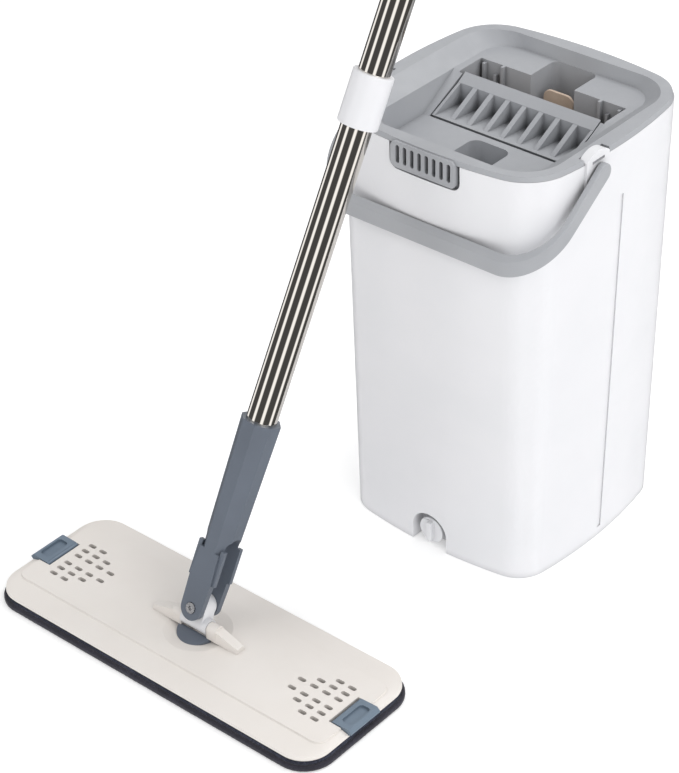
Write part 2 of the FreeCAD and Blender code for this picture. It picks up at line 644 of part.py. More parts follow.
def mop_plate():
    """The top shell of the mop's head."""
    r = PLATE_CORNER_R
    edge = tapered(plate_rect(0, r, BASE_TOP), plate_rect(-0.3, r - 0.3, EDGE_TOP))
    half_w = PLATEAU_HALF_W + 0.8
    band_top = (-PLATE_L / 2 + 5, PLATE_L / 2 - 5, -half_w, half_w, 10.0, BAND_TOP)
    band = tapered(plate_rect(-0.3, r - 0.3, EDGE_TOP), band_top)
    plateau = tapered((-PLATEAU_HALF_L - 0.8, PLATEAU_HALF_L + 0.8, -half_w, half_w, 9.0, BAND_TOP - 0.6),
                      (-PLATEAU_HALF_L, PLATEAU_HALF_L, -PLATEAU_HALF_W, PLATEAU_HALF_W, 8.0, PLATEAU_TOP))
    body = fuse([edge, band, plateau])
    body = body.cut(tapered(plate_rect(-6, r - 6, BASE_TOP - 1), plate_rect(-8, r - 8, BASE_TOP + 1.4)))
    # a shallow dish round the joint, deeper in front of it for the half-moon cup
    sphere_r = (DISH_R ** 2 + DISH_SINK ** 2) / (2 * DISH_SINK)
    dish = Part.makeSphere(sphere_r, V(0, 0, PLATEAU_TOP - DISH_SINK + sphere_r))
    body = body.cut(dish.common(cyl_z(DISH_R + 1, 0, PLATEAU_TOP + 1)))
    body = body.cut(cup_blank(CUP_R + RUN))
    body = body.cut(drain_slots(BASE_TOP - 1, PLATEAU_TOP + 1))
    for side in (1, -1):
        body = body.cut(clip_pocket(side))
    return body.removeSplitter()


def base_plate():
    """The under shell: it closes the plate and carries the hook strips."""
    body = slab(*plate_rect(-1.5, PLATE_CORNER_R - 1.5, 0)[:5], PAD_TOP + 0.2, BASE_TOP)
    body = body.cut(drain_slots(0, BASE_TOP + 1))
    for y in (-40, 0, 40):
        body = body.cut(slab(-90, 90, y - 9, y + 9, 4, PAD_TOP, PAD_TOP + 1.2))
    bosses = [cyl_z(3.2, BASE_TOP, BASE_TOP + 1.3, sx * 70, sy * 30) for sx in (1, -1) for sy in (1, -1)]
    return fuse([body] + bosses)


def hook_strips():
    """Three hook-and-loop strips that the pad clings to."""
    strips = [slab(-89.8, 89.8, y - 8.8, y + 8.8, 3.8, PAD_TOP + 0.05, PAD_TOP + 1.2) for y in (-40, 0, 40)]
    return Part.makeCompound(strips)


def mop_pad():
    """The microfibre pad."""
    g = PAD_OVERHANG
    r = PLATE_CORNER_R + g
    low = tapered(plate_rect(g - 1.6, r - 1.6, 0), plate_rect(g, r, 2.0))
    return fuse([low, slab(*plate_rect(g, r, 0)[:5], 2.0, PAD_TOP)])


def cup_blank(r):
    """The half-moon in front of the joint, from the base plate to over the plateau."""
    front = box(-r - 1, r + 1, -r - 1, CUP_CHORD_Y, BASE_TOP, PLATEAU_TOP + CUP_RISE)
    return cyl_z(r, BASE_TOP, PLATEAU_TOP + CUP_RISE).common(front)


def joint_cup():
    """The dark half-moon in front of the joint: it slopes down to the front."""
    top = PLATEAU_TOP + CUP_RISE
    over = top + 5
    slope = prism_x([(CUP_CHORD_Y - 1, top), (-CUP_R, CUP_LOW_Z), (-CUP_R - 1, CUP_LOW_Z),
                     (-CUP_R - 1, over), (CUP_CHORD_Y - 1, over)], -CUP_R, CUP_R)
    return cup_blank(CUP_R).cut(slope).removeSplitter()


def wing_cap(side):
    """A bearing block whose long tapered wing lies along the plate."""
    x0 = HUB_INNER
    z0 = PLATEAU_TOP + 0.7
    hub = fuse([box(x0, x0 + 9, -5.2, 5.2, z0, AXLE_Z), cyl_x(5.2, x0, x0 + 9, 0, AXLE_Z)])
    low = Part.makePolygon([V(x0 + 7, -5.4, z0), V(x0 + 7, 5.4, z0), V(x0 + 7, 4.2, AXLE_Z + 3.2),
                            V(x0 + 7, -4.2, AXLE_Z + 3.2), V(x0 + 7, -5.4, z0)])
    tip = Part.makePolygon([V(WING_TIP, -4.6, PLATEAU_TOP - 0.2), V(WING_TIP, 4.6, PLATEAU_TOP - 0.2),
                            V(WING_TIP, 3.6, PLATEAU_TOP + WING_TIP_RISE),
                            V(WING_TIP, -3.6, PLATEAU_TOP + WING_TIP_RISE),
                            V(WING_TIP, -4.6, PLATEAU_TOP - 0.2)])
    wing = Part.makeLoft([low, tip], True, True)
    foot = box(20.4, WING_TIP, -4.6, 4.6, PLATEAU_TOP + 0.02, PLATEAU_TOP + 1.2)
    body = fuse([hub, wing.common(box(0, 60, -10, 10, PLATEAU_TOP + 0.02, 40)), foot])
    body = body.cut(cyl_x(AXLE_R, x0 - 1, x0 + 7, 0, AXLE_Z))
    return body if side > 0 else mirrored_x(body)


def knuckle_axle():
    """The steel axle between the wing caps."""
    return cyl_x(AXLE_R, -HUB_INNER - 6.5, HUB_INNER + 6.5, 0, AXLE_Z)


def clip(side):
    """A clip that holds the pad's end flap, with a thumb recess."""
    x0, x1 = CLIP_X
    z0 = 11.4
    z1 = 16.6
    hinge = x0 + 3.0
    profile = [(hinge, z0), (x1, z0), (x1 + 1.4, z0 + 1.5), (x1 + 1.4, z0 + 2.6), (x1 - 1.4, z1), (hinge, z1 - 0.6)]
    body = prism_y(profile, -CLIP_HALF, CLIP_HALF).fuse(cyl_y(2.1, -CLIP_HALF, CLIP_HALF, hinge, CLIP_PIN_Z))
    body = body.cut(slab(x0 + 6.5, x1 - 3.0, -CLIP_HALF + 5, CLIP_HALF - 5, 3.0, z1 - 2.4, z1 + 1))
    body = body.cut(cyl_y(CLIP_PIN_R + RUN, -CLIP_HALF - 1, CLIP_HALF + 1, x0 + 3.0, CLIP_PIN_Z))
    return body.removeSplitter() if side > 0 else mirrored_x(body.removeSplitter())


def clip_pins():
    """The two hinge pins of the clips."""
    x = CLIP_X[0] + 3.0
    pins = [cyl_y(CLIP_PIN_R, -CLIP_HALF - 2.8, CLIP_HALF + 2.8, sx * x, CLIP_PIN_Z) for sx in (1, -1)]
    return Part.makeCompound(pins)


# ---- knuckle (made about the axle) -------------------------------------------------------
def knuckle():
    """The white cross piece: a barrel on the axle and a boss for the yoke's pin."""
    half = HUB_INNER - 0.4
    barrel = cyl_x(6.4, -half, half, 0, 0)
    boss = cyl_y(9.0, -KNUCKLE_HALF, KNUCKLE_HALF, 0, PIN_RISE)
    web = box(-9.0, 9.0, -KNUCKLE_HALF + 1.0, KNUCKLE_HALF - 1.0, 0, PIN_RISE)
    body = fuse([barrel, boss, web])
    body = body.cut(cyl_x(AXLE_R + RUN, -20, 20, 0, 0))
    return body.cut(cyl_y(PIN_R + RUN, -20, 20, 0, PIN_RISE)).removeSplitter()


# ---- pole (made along +Z from the yoke's pin) ----------------------------------------------
def octagon(half, z):
    """An eight-sided outline, across its flats."""
    r = half / math.cos(math.pi / 8.0)
    turns = [math.pi / 8.0 + math.pi / 4.0 * i for i in range(8)]
    points = [V(r * math.cos(turn), r * math.sin(turn), z) for turn in turns]
    return Part.makePolygon(points + [points[0]])


def both_cheeks(shape):
    """A shape on the +Y cheek together with its twin on the other cheek."""
    return [shape, shape.mirror(V(0, 0, 0), Y_AXIS)]


def yoke():
    """The grey fork: an eight-sided shank over two cheeks with stepped ribs down their edges."""
    y0, y1 = CHEEK
    shank_z = FORK_DEPTH - 8
    parts = [Part.makeLoft([octagon(SHANK_LOW_HALF, shank_z), octagon(SHANK_TOP_HALF, SHANK_TOP)], True, True)]
    waist = CHEEK_R + 1
    flat = prism_y([(-CHEEK_R, 0), (CHEEK_R, 0), (waist, FIN_Z[0]), (FIN_X[0], shank_z + 2),
                    (-FIN_X[0], shank_z + 2), (-waist, FIN_Z[0])], y0, y1)
    parts += both_cheeks(cyl_y(CHEEK_R, y0, y1, 0, 0).fuse(flat))
    for x0, x1 in (FIN_X, (-FIN_X[1], -FIN_X[0])):
        parts += both_cheeks(box(x0, x1, y0, y1 - 1.6, *FIN_Z))
    body = fuse(parts)
    body = body.cut(box(-30, 30, -y0, y0, -20, FORK_DEPTH).fuse(cyl_x(y0, -30, 30, 0, FORK_DEPTH)))
    body = body.cut(cyl_y(PIN_R, -30, 30, 0, 0))
    body = body.cut(both_cheeks(cyl_y(SCREW_HEAD_R + 0.2, y1 - 1.4, y1 + 5, 0, 0)))
    return body.cut(cyl_z(TUBE_R + 0.02, TUBE_START, SHANK_TOP + 5)).removeSplitter()


def yoke_screw():
    """The socket screw through the cheeks and the knuckle."""
    y1 = CHEEK[1]
    shaft = cyl_y(PIN_R, -y1, y1 - 1.4, 0, 0)
    head = cyl_y(SCREW_HEAD_R, -y1 - 0.9, -y1 + 1.4, 0, 0)
    points = [V(1.9 * math.cos(math.pi / 3 * i), -y1 - 2, 1.9 * math.sin(math.pi / 3 * i)) for i in range(6)]
    socket = Part.Face(Part.makePolygon(points + [points[0]])).extrude(V(0, 3.0, 0))
    return fuse([shaft, head]).cut(socket)


def yoke_nut():
    """The cap nut at the screw's far end."""
    y1 = CHEEK[1]
    nut = cyl_y(SCREW_HEAD_R, y1 - 1.35, y1 + 1.2, 0, 0)
    return nut.cut(cyl_y(PIN_R, y1 - 3, y1 - 1.35, 0, 0))


def tube(z0, z1):
    """A thin polished steel tube."""
    return cyl_z(TUBE_R, z0, z1).cut(cyl_z(TUBE_R - TUBE_WALL, z0 - 1, z1 + 1))


def sleeve(z):
    """The white sleeve that joins two tubes."""
    body = cyl_z(SLEEVE_R, z - SLEEVE_HALF, z + SLEEVE_HALF)
    body = body.makeFillet(1.2, [e for e in body.Edges if e.Length > 50])
    return body.cut(cyl_z(TUBE_R + 0.02, z - SLEEVE_HALF - 1, z + SLEEVE_HALF + 1))


def tube_plug(z):
    """The threaded plug inside a joint of two tubes."""
    return cyl_z(TUBE_R - TUBE_WALL - 0.02, z - 32, z + 32).cut(cyl_z(6.0, z - 33, z + 33))


def hand_grip():
    """The soft grip with shallow finger grooves."""
    body = cyl_z(GRIP_R, GRIP[0], GRIP[1])
    body = body.makeFillet(2.0, [e for e in body.Edges if e.Length > 50])
    grooves = [Part.makeTorus(GRIP_R + 2.2, 3.0, V(0, 0, GRIP[0] + 24 + 15 * i)) for i in range(7)]
    return body.cut(grooves).cut(cyl_z(TUBE_R + 0.02, GRIP[0] - 1, GRIP[1] + 1)).removeSplitter()


def hang_cap():
    """The end cap with the hole that the mop hangs from."""
    plug = cyl_z(TUBE_R - TUBE_WALL - 0.02, TUBE_END - 20, GRIP[1] + 0.2)
    r = GRIP_R - 0.4
    over = box(-30, 30, -30, 30, CAP_TOP - 12, CAP_TOP + 20)
    dome = cyl_z(r, GRIP[1] + 0.1, CAP_TOP - 12).fuse(Part.makeSphere(r, V(0, 0, CAP_TOP - 12)).common(over))
    dome = dome.common(box(-30, 30, -7.5, 7.5, GRIP[1] + 6, CAP_TOP + 20).fuse(
        box(-30, 30, -30, 30, GRIP[1], GRIP[1] + 6)))
    return fuse([plug, dome]).cut(cyl_y(HANG_HOLE_R, -30, 30, 0, CAP_TOP - 12)).removeSplitter()


# ---- placing -----------------------------------------------------------------------------
def on_plate(shape):
    """Carries a piece of the mop's head to where the head stands."""
    shape.translate(PLATE_CENTRE)
    return shape


def on_axle(shape):
    """Carries the knuckle, leaning with the pole, to the axle."""
    shape.rotate(V(0, 0, 0), X_AXIS, -LEAN)
    shape.translate(PLATE_CENTRE + V(0, 0, AXLE_Z))
    return shape


def on_pole(shape):
    """Carries a piece of the pole to where the pole leans."""
    shape.rotate(V(0, 0, 0), Y_AXIS, TILT)
    shape.translate(V(0, 0, PIN_RISE))
    return on_axle(shape)


def nodes():
    """Every piece by its node name."""
    found = {
        "bucket_shell": bucket_shell(),
        "drain_plug": drain_plug(),
        "drain_seal": drain_seal(),
        "bail_handle": bail_handle(),
        "wringer_tray": wringer_tray(),
        "wringer_flap": wringer_flap(),
        "scraper_blade": scraper_blade(),
        "flap_hinge_rod": flap_hinge_rod(),
        "flap_spring_left": flap_spring(-1),
        "flap_spring_right": flap_spring(1),
        "guide_channel": guide_channel(),
        "wiper_tongue": wiper_tongue(),
        "mop_plate": on_plate(mop_plate()),
        "base_plate": on_plate(base_plate()),
        "hook_strips": on_plate(hook_strips()),
        "mop_pad": on_plate(mop_pad()),
        "joint_cup": on_plate(joint_cup()),
        "wing_cap_left": on_plate(wing_cap(-1)),
        "wing_cap_right": on_plate(wing_cap(1)),
        "knuckle_axle": on_plate(knuckle_axle()),
        "pad_clip_left": on_plate(clip(-1)),
        "pad_clip_right": on_plate(clip(1)),
        "clip_pins": on_plate(clip_pins()),
        "knuckle": on_axle(knuckle()),
        "yoke": on_pole(yoke()),
        "yoke_screw": on_pole(yoke_screw()),
        "yoke_nut": on_pole(yoke_nut()),
        "lower_tube": on_pole(tube(TUBE_START, SLEEVES[0])),
        "middle_tube": on_pole(tube(*SLEEVES)),
        "upper_tube": on_pole(tube(SLEEVES[1], TUBE_END)),
        "lower_sleeve": on_pole(sleeve(SLEEVES[0])),
        "upper_sleeve": on_pole(sleeve(SLEEVES[1])),
        "lower_tube_plug": on_pole(tube_plug(SLEEVES[0])),
        "upper_tube_plug": on_pole(tube_plug(SLEEVES[1])),
        "hand_grip": on_pole(hand_grip()),
        "hang_cap": on_pole(hang_cap()),
    }
    return found


def main():
    os.makedirs("parts", exist_ok=True)
    found = nodes()
    whole = FreeCAD.BoundBox()
    for shape in found.values():
        whole.add(shape.optimalBoundingBox(False))
    shift = V(-(whole.XMin + whole.XMax) / 2, -(whole.YMin + whole.YMax) / 2, -whole.ZMin)
    print("shift", [round(c, 6) for c in shift])
    for name, shape in found.items():
        shape.translate(shift)
        if not shape.isValid():
            print("not valid:", name)
        print(name, len(shape.Solids), round(shape.Volume))
        shape.exportStep("parts/" + name + ".step")


main()
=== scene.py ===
"""The looks of a flat mop and its bucket with a wringing tray: moulded plastics with soft edges,
a polished steel pole, a bound microfibre pad and the small steel parts.  Lengths are metres, in
the frame of the CAD model.
"""

import bpy
import bmesh
import json
import math
from mathutils import Matrix, Vector

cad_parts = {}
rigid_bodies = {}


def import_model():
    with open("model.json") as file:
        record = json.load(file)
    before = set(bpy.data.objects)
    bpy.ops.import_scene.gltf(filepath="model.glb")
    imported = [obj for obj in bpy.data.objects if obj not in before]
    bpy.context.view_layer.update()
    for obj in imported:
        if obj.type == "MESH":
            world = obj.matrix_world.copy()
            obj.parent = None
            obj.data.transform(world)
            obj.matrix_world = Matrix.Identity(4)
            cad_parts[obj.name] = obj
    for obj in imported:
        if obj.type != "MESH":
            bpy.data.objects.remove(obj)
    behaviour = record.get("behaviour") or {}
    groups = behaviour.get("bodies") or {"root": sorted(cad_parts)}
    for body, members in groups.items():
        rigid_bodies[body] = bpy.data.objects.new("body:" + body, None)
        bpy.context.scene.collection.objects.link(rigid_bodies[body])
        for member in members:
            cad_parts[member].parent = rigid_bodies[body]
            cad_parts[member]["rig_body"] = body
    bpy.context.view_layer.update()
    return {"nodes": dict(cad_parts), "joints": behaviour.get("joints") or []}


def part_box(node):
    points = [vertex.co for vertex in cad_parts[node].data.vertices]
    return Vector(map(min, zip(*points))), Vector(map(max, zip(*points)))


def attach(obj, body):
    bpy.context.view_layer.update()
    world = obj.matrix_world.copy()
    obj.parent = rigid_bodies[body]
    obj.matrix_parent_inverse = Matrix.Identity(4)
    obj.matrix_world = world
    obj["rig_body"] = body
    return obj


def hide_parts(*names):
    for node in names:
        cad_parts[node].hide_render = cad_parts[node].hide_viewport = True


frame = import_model()

MM = 0.001
NODES = frame["nodes"]
JOINTS = {joint["name"]: joint for joint in frame["joints"]}

# ---- driving dimensions ------------------------------------------------------------------
SOFT_EDGE = 0.9 * MM          # rounding of an ordinary moulded edge
THICK_EDGE = 1.6 * MM         # of the bail
SMALL_EDGE = 0.6 * MM         # of small mouldings
SHARP_EDGE = 0.25 * MM        # of screws and nuts
WELD = 0.01 * MM
ROUND_STEPS = 96              # facets round the pole

POLE_LEAN = math.radians(23.0)
POLE_TILT = math.radians(5.1)
TUBE_R = 12.0 * MM
TUBE_WALL = 0.8 * MM
SLEEVE_R = 15.4 * MM
SLEEVE_FIT = 0.02 * MM
BINDING_HALF_W = 1.9 * MM     # the rolled binding round the pad
BINDING_HALF_H = 2.5 * MM
PAD_CORNER_R = 27.3 * MM
BINDING_INSET = 2.2 * MM      # from the pad's outline to the middle of the binding
BINDING_PITCH = 1.6 * MM
BINDING_RISE = 0.2 * MM       # the binding's underside over the floor
STITCH_INSET = 5.6 * MM
STITCH_PITCH = 4.2 * MM
STITCH_HALF = 1.5 * MM
STITCH_R = 0.42 * MM
STITCH_RISE = 0.45 * MM
PILE_INSET = 2.4 * MM         # the pile stops short of the outline, inside the binding
PILE_VOXEL = 3.0 * MM
PILE_PRESSURE = 4.0
PILE_STEPS = 20
PAD_CAP = 0.9 * MM            # the pile never swells further than this
PAD_SKIN = 0.05 * MM          # and stays this far inside the pad's top and bottom

# the view: where the camera looks, counted from the middle of the bucket's foot
VIEW_TARGET = Vector((-0.0775, -0.1147, 0.1323))
VIEW_DISTANCE = 1.963
VIEW_AZIMUTH = math.radians(41.16)
VIEW_ELEVATION = math.radians(34.37)
VIEW_ROLL = math.radians(-1.5)
LENS = 115.2

# what polished metal mirrors: soft neutral strip lights, evenly spaced round a dark wall; each strip's
# share of the turn is given as (place within the share, brightness)
STRIP_LIGHTS = 6
STRIP_SHARE = ((0.0, 1.0), (0.2, 1.0), (0.3, 0.06), (0.9, 0.06))
MIRROR_STRENGTH = 1.25
ROOM_STRENGTH = 0.60

# the lamps: name, place and aim counted from the middle of the bucket's foot, size and power
BUCKET_FRONT = Vector((0, -0.1, 0.2))
LAMPS = (("front", Vector((-1.1, -1.5, 2.0)), BUCKET_FRONT, 1.4, 9.0),
         ("side", Vector((1.8, -0.9, 1.3)), BUCKET_FRONT, 1.4, 17.0),
         ("behind", Vector((0.5, 1.1, 2.1)), Vector((0, 0, 0)), 1.2, 17.0))
FLOOR_REACH = 12.0
FLOOR_DROP = 0.2 * MM


def linear(red, green, blue):
    """An 8-bit display colour as a linear one."""
    return tuple(((c / 255 + 0.055) / 1.055) ** 2.4 for c in (red, green, blue)) + (1.0,)


# ---- materials ---------------------------------------------------------------------------
class Shader:
    """A Principled material that is built up from procedural patterns in object space."""

    def __init__(self, name, colour, roughness, **sockets):
        self.material = bpy.data.materials.new(name)
        self.material.use_nodes = True
        self.tree = self.material.node_tree
        self.base = self.tree.nodes["Principled BSDF"]
        self.colour = colour
        self.base.inputs["Base Color"].default_value = colour
        self.base.inputs["Roughness"].default_value = roughness
        for socket, value in sockets.items():
            self.base.inputs[socket.replace("_", " ")].default_value = value
        self.place = self.tree.nodes.new("ShaderNodeTexCoord").outputs["Object"]
        self.last_bump = None

    def link(self, a, b):
        self.tree.links.new(a, b)

    def stretched(self, scale):
        """Coordinates stretched by a different amount along each axis."""
        node = self.tree.nodes.new("ShaderNodeMapping")
        node.inputs["Scale"].default_value = scale
        self.link(self.place, node.inputs["Vector"])
        return node.outputs["Vector"]

    def noise(self, size, detail=2.0, vector=None):
        """Smooth noise whose features are about size metres across."""
        node = self.tree.nodes.new("ShaderNodeTexNoise")
        node.inputs["Scale"].default_value = 1.0 / size
        node.inputs["Detail"].default_value = detail
        self.link(vector or self.place, node.inputs["Vector"])
        return node.outputs["Fac"]

    def cells(self, size, vector=None):
        """Rounded cells about size metres across."""
        node = self.tree.nodes.new("ShaderNodeTexVoronoi")
        node.inputs["Scale"].default_value = 1.0 / size
        self.link(vector or self.place, node.inputs["Vector"])
        return node.outputs["Distance"]

    def waves(self, size, axis="X", distortion=0.0, vector=None):
        """Parallel bands size metres apart."""
        node = self.tree.nodes.new("ShaderNodeTexWave")
        node.bands_direction = axis
        node.inputs["Scale"].default_value = math.pi / 10.0 / size
        node.inputs["Distortion"].default_value = distortion
        self.link(vector or self.place, node.inputs["Vector"])
        return node.outputs["Fac"]

    def maths(self, operation, a, b):
        """One arithmetic step; a and b are outputs or numbers."""
        node = self.tree.nodes.new("ShaderNodeMath")
        node.operation = operation
        for socket, value in zip(node.inputs, (a, b)):
            if isinstance(value, (int, float)):
                socket.default_value = value
            else:
                self.link(value, socket)
        return node.outputs["Value"]

    def ranged(self, value, low, high, from_low=0.0, from_high=1.0):
        """The value moved into another range, clamped."""
        node = self.tree.nodes.new("ShaderNodeMapRange")
        node.inputs["From Min"].default_value = from_low
        node.inputs["From Max"].default_value = from_high
        node.inputs["To Min"].default_value = low
        node.inputs["To Max"].default_value = high
        self.link(value, node.inputs["Value"])
        return node.outputs["Result"]

    def rough(self, value, low, high):
        """Roughness that follows a pattern."""
        self.link(self.ranged(value, low, high, 0.3, 0.7), self.base.inputs["Roughness"])
        return self

    def tint(self, value, other, low=0.0, high=1.0):
        """Base colour that wanders towards another colour where the pattern is high."""
        mix = self.tree.nodes.new("ShaderNodeMix")
        mix.data_type = "RGBA"
        colour_in = [socket for socket in mix.inputs if socket.type == "RGBA"]
        result = [socket for socket in mix.outputs if socket.type == "RGBA"][0]
        previous = self.base.inputs["Base Color"]
        if previous.is_linked:
            self.link(previous.links[0].from_socket, colour_in[0])
        else:
            colour_in[0].default_value = self.colour
        colour_in[1].default_value = other
        self.link(self.ranged(value, low, high, 0.35, 0.65), mix.inputs["Factor"])
        self.link(result, previous)
        return self

    def painted_hollow_shade(self, reach, dark):
        """Painted shade: darkens the base colour in gaps and corners narrower than reach, down to dark
        times.
        """
        closed = self.tree.nodes.new("ShaderNodeAmbientOcclusion")
        closed.samples = 8
        closed.inputs["Distance"].default_value = reach
        shade = self.ranged(closed.outputs["AO"], dark, 1.0, 0.15, 0.85)
        mix = self.tree.nodes.new("ShaderNodeMix")
        mix.data_type = "RGBA"
        mix.blend_type = "MULTIPLY"
        mix.inputs["Factor"].default_value = 1.0
        colour_in = [socket for socket in mix.inputs if socket.type == "RGBA"]
        result = [socket for socket in mix.outputs if socket.type == "RGBA"][0]
        previous = self.base.inputs["Base Color"]
        self.link(previous.links[0].from_socket, colour_in[0])
        self.link(shade, colour_in[1])
        self.link(result, previous)
        return self

    def bump(self, value, depth, strength=1.0):
        """Relief depth metres high, on top of any earlier relief."""
        node = self.tree.nodes.new("ShaderNodeBump")
        node.inputs["Distance"].default_value = depth
        node.inputs["Strength"].default_value = strength
        self.link(value, node.inputs["Height"])
        if self.last_bump is not None:
            self.link(self.last_bump, node.inputs["Normal"])
        self.last_bump = node.outputs["Normal"]
        self.link(self.last_bump, self.base.inputs["Normal"])
        return self


def moulded_plastic(name, colour, shade, roughness, grain, hollow_shade=0.75, spread=0.08):
    """Injection-moulded plastic: a fine spark-eroded grain, faint flow waviness and handling marks.
    Its gaps and corners get painted shade, darkening them to the given fraction of the colour."""
    shader = Shader(name, colour, roughness, Specular_IOR_Level=0.45)
    patches = shader.noise(60 * MM, 3.0)
    shader.tint(patches, shade, 0.0, 0.55)
    # painted shade: gaps and corners within 9 mm darkened through an ambient occlusion node
    shader.painted_hollow_shade(9 * MM, hollow_shade)
    marks = shader.noise(7 * MM, 5.0)
    shader.rough(marks, roughness - spread, roughness + spread)
    shader.bump(shader.noise(0.35 * MM, 1.0), grain)
    shader.bump(shader.noise(45 * MM, 1.0), 0.12 * MM)
    return shader.material


def polished_steel():
    """Polished stainless tube with very fine lengthwise drawing lines."""
    shader = Shader("polished_steel", linear(226, 221, 214), 0.03, Metallic=1.0)
    lines = shader.noise(0.5 * MM, 2.0, shader.stretched((1.0, 1.0, 0.015)))
    shader.rough(lines, 0.015, 0.04)
    return shader.material


def machined_steel():
    """Bright zinc-plated steel for the screw, pins, rods and springs."""
    shader = Shader("steel_parts", linear(196, 196, 198), 0.28, Metallic=1.0)
    shader.tint(shader.noise(3 * MM, 3.0), linear(160, 160, 164), 0.0, 0.6)
    shader.rough(shader.noise(1.2 * MM, 4.0), 0.2, 0.4)
    shader.bump(shader.noise(0.25 * MM), 0.01 * MM)
    return shader.material


def rubber(name, colour, shade):
    """A soft matt elastomer with a fine leathery grain."""
    shader = Shader(name, colour, 0.62, Specular_IOR_Level=0.35)
    shader.tint(shader.noise(14 * MM, 4.0), shade, 0.0, 0.6)
    shader.rough(shader.noise(2.5 * MM, 3.0), 0.52, 0.72)
    shader.bump(shader.cells(0.7 * MM), 0.03 * MM)
    return shader.material


def microfibre():
    """The pad's pile: short tangled fibres in a dark blue-charcoal."""
    shader = Shader("pad_fabric", linear(46, 47, 60), 0.95, Sheen_Weight=0.5, Sheen_Roughness=0.45)
    shader.base.inputs["Sheen Tint"].default_value = linear(150, 156, 176)
    shader.tint(shader.noise(1.1 * MM, 4.0), linear(82, 86, 104), 0.0, 0.8)
    shader.tint(shader.noise(16 * MM, 3.0), linear(38, 39, 50), 0.0, 0.6)
    shader.bump(shader.cells(1.0 * MM), 0.35 * MM)
    shader.bump(shader.noise(0.4 * MM, 3.0), 0.15 * MM)
    return shader.material


def binding_tape():
    """The woven tape that binds the pad's edge: fine ribs across the tape."""
    shader = Shader("pad_binding", linear(36, 34, 46), 0.85, Sheen_Weight=0.2, Sheen_Roughness=0.5)
    shader.tint(shader.noise(0.9 * MM, 3.0), linear(58, 56, 72), 0.0, 0.7)
    shader.tint(shader.noise(20 * MM, 2.0), linear(28, 27, 36), 0.0, 0.6)
    ribs = shader.maths("MULTIPLY", shader.waves(0.8 * MM, "X", 0.6), shader.waves(0.8 * MM, "Y", 0.6))
    shader.bump(ribs, 0.10 * MM)
    shader.bump(shader.noise(0.3 * MM, 2.0), 0.06 * MM)
    return shader.material


def stitch_thread():
    """Twisted polyester thread."""
    shader = Shader("stitch_thread", linear(62, 62, 78), 0.7, Sheen_Weight=0.3)
    shader.tint(shader.noise(0.6 * MM, 2.0), linear(92, 92, 110), 0.0, 0.7)
    shader.bump(shader.waves(0.35 * MM, "X", 1.0), 0.05 * MM)
    return shader.material


def hook_tape():
    """Hook tape: rows of tiny stiff hooks."""
    shader = Shader("hook_fabric", linear(40, 40, 44), 0.7)
    shader.tint(shader.cells(0.9 * MM), linear(70, 70, 76), 0.0, 0.7)
    shader.bump(shader.cells(0.9 * MM), 0.3 * MM)
    return shader.material


# the last number given to a plastic is how dark its painted shade in gaps and corners gets
WHITE = moulded_plastic(
    "white_plastic", linear(232, 232, 235), linear(227, 228, 231), 0.36, 0.006 * MM, 0.6)
GREY = moulded_plastic(
    "grey_plastic", linear(170, 172, 176), linear(161, 163, 168), 0.46, 0.014 * MM, 0.4)
BEIGE = moulded_plastic(
    "beige_plastic", linear(236, 231, 226), linear(231, 225, 219), 0.5, 0.012 * MM)
BLUE_GREY = moulded_plastic(
    "blue_grey_plastic", linear(118, 133, 148), linear(106, 120, 136), 0.36, 0.008 * MM)
DARK_GREY = moulded_plastic(
    "dark_grey_plastic", linear(104, 112, 124), linear(94, 101, 112), 0.38, 0.008 * MM)
TAN = moulded_plastic(
    "beige_tan_plastic", linear(196, 178, 158), linear(186, 168, 148), 0.5, 0.012 * MM)
SCRAPER = rubber("scraper_rubber", linear(206, 186, 168), linear(194, 174, 156))
SEAL = rubber("seal_rubber", linear(38, 38, 42), linear(30, 30, 33))
GRIP = rubber("grip_foam", linear(110, 118, 130), linear(96, 104, 116))
STEEL = polished_steel()
HARDWARE = machined_steel()
PILE = microfibre()
BINDING = binding_tape()
THREAD = stitch_thread()
HOOKS = hook_tape()


# ---- mesh helpers ------------------------------------------------------------------------
def body_of_node(node):
    """The CAD body that a node belongs to."""
    return NODES[node]["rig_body"]


def new_piece(name, mesh, material):
    """A new object in the scene with one material and its slot named."""
    piece = bpy.data.objects.new(name, mesh)
    bpy.context.scene.collection.objects.link(piece)
    mesh.materials.clear()
    mesh.materials.append(material)
    return piece


def mesh_from(bm, name):
    """A clean mesh with only the vertices and faces of a bmesh."""
    bm.verts.index_update()
    points = [v.co.copy() for v in bm.verts]
    faces = [[v.index for v in f.verts] for f in bm.faces]
    bm.free()
    mesh = bpy.data.meshes.new(name)
    mesh.from_pydata(points, [], faces)
    mesh.validate()
    return mesh


def applied(piece):
    """Bakes the piece's modifiers into its mesh."""
    depsgraph = bpy.context.evaluated_depsgraph_get()
    mesh = bpy.data.meshes.new_from_object(piece.evaluated_get(depsgraph))
    piece.modifiers.clear()
    old = piece.data
    piece.data = mesh
    bpy.data.meshes.remove(old)
    return piece


def smooth_shaded(piece, angle=38.0):
    """Smooth shading with crisp breaks past the angle, and normals that keep flats flat."""
    piece.data.shade_smooth()
    piece.data.set_sharp_from_angle(angle=math.radians(angle))
    weigh = piece.modifiers.new("weigh", "WEIGHTED_NORMAL")
    weigh.keep_sharp = True
    weigh.weight = 80
    return applied(piece)


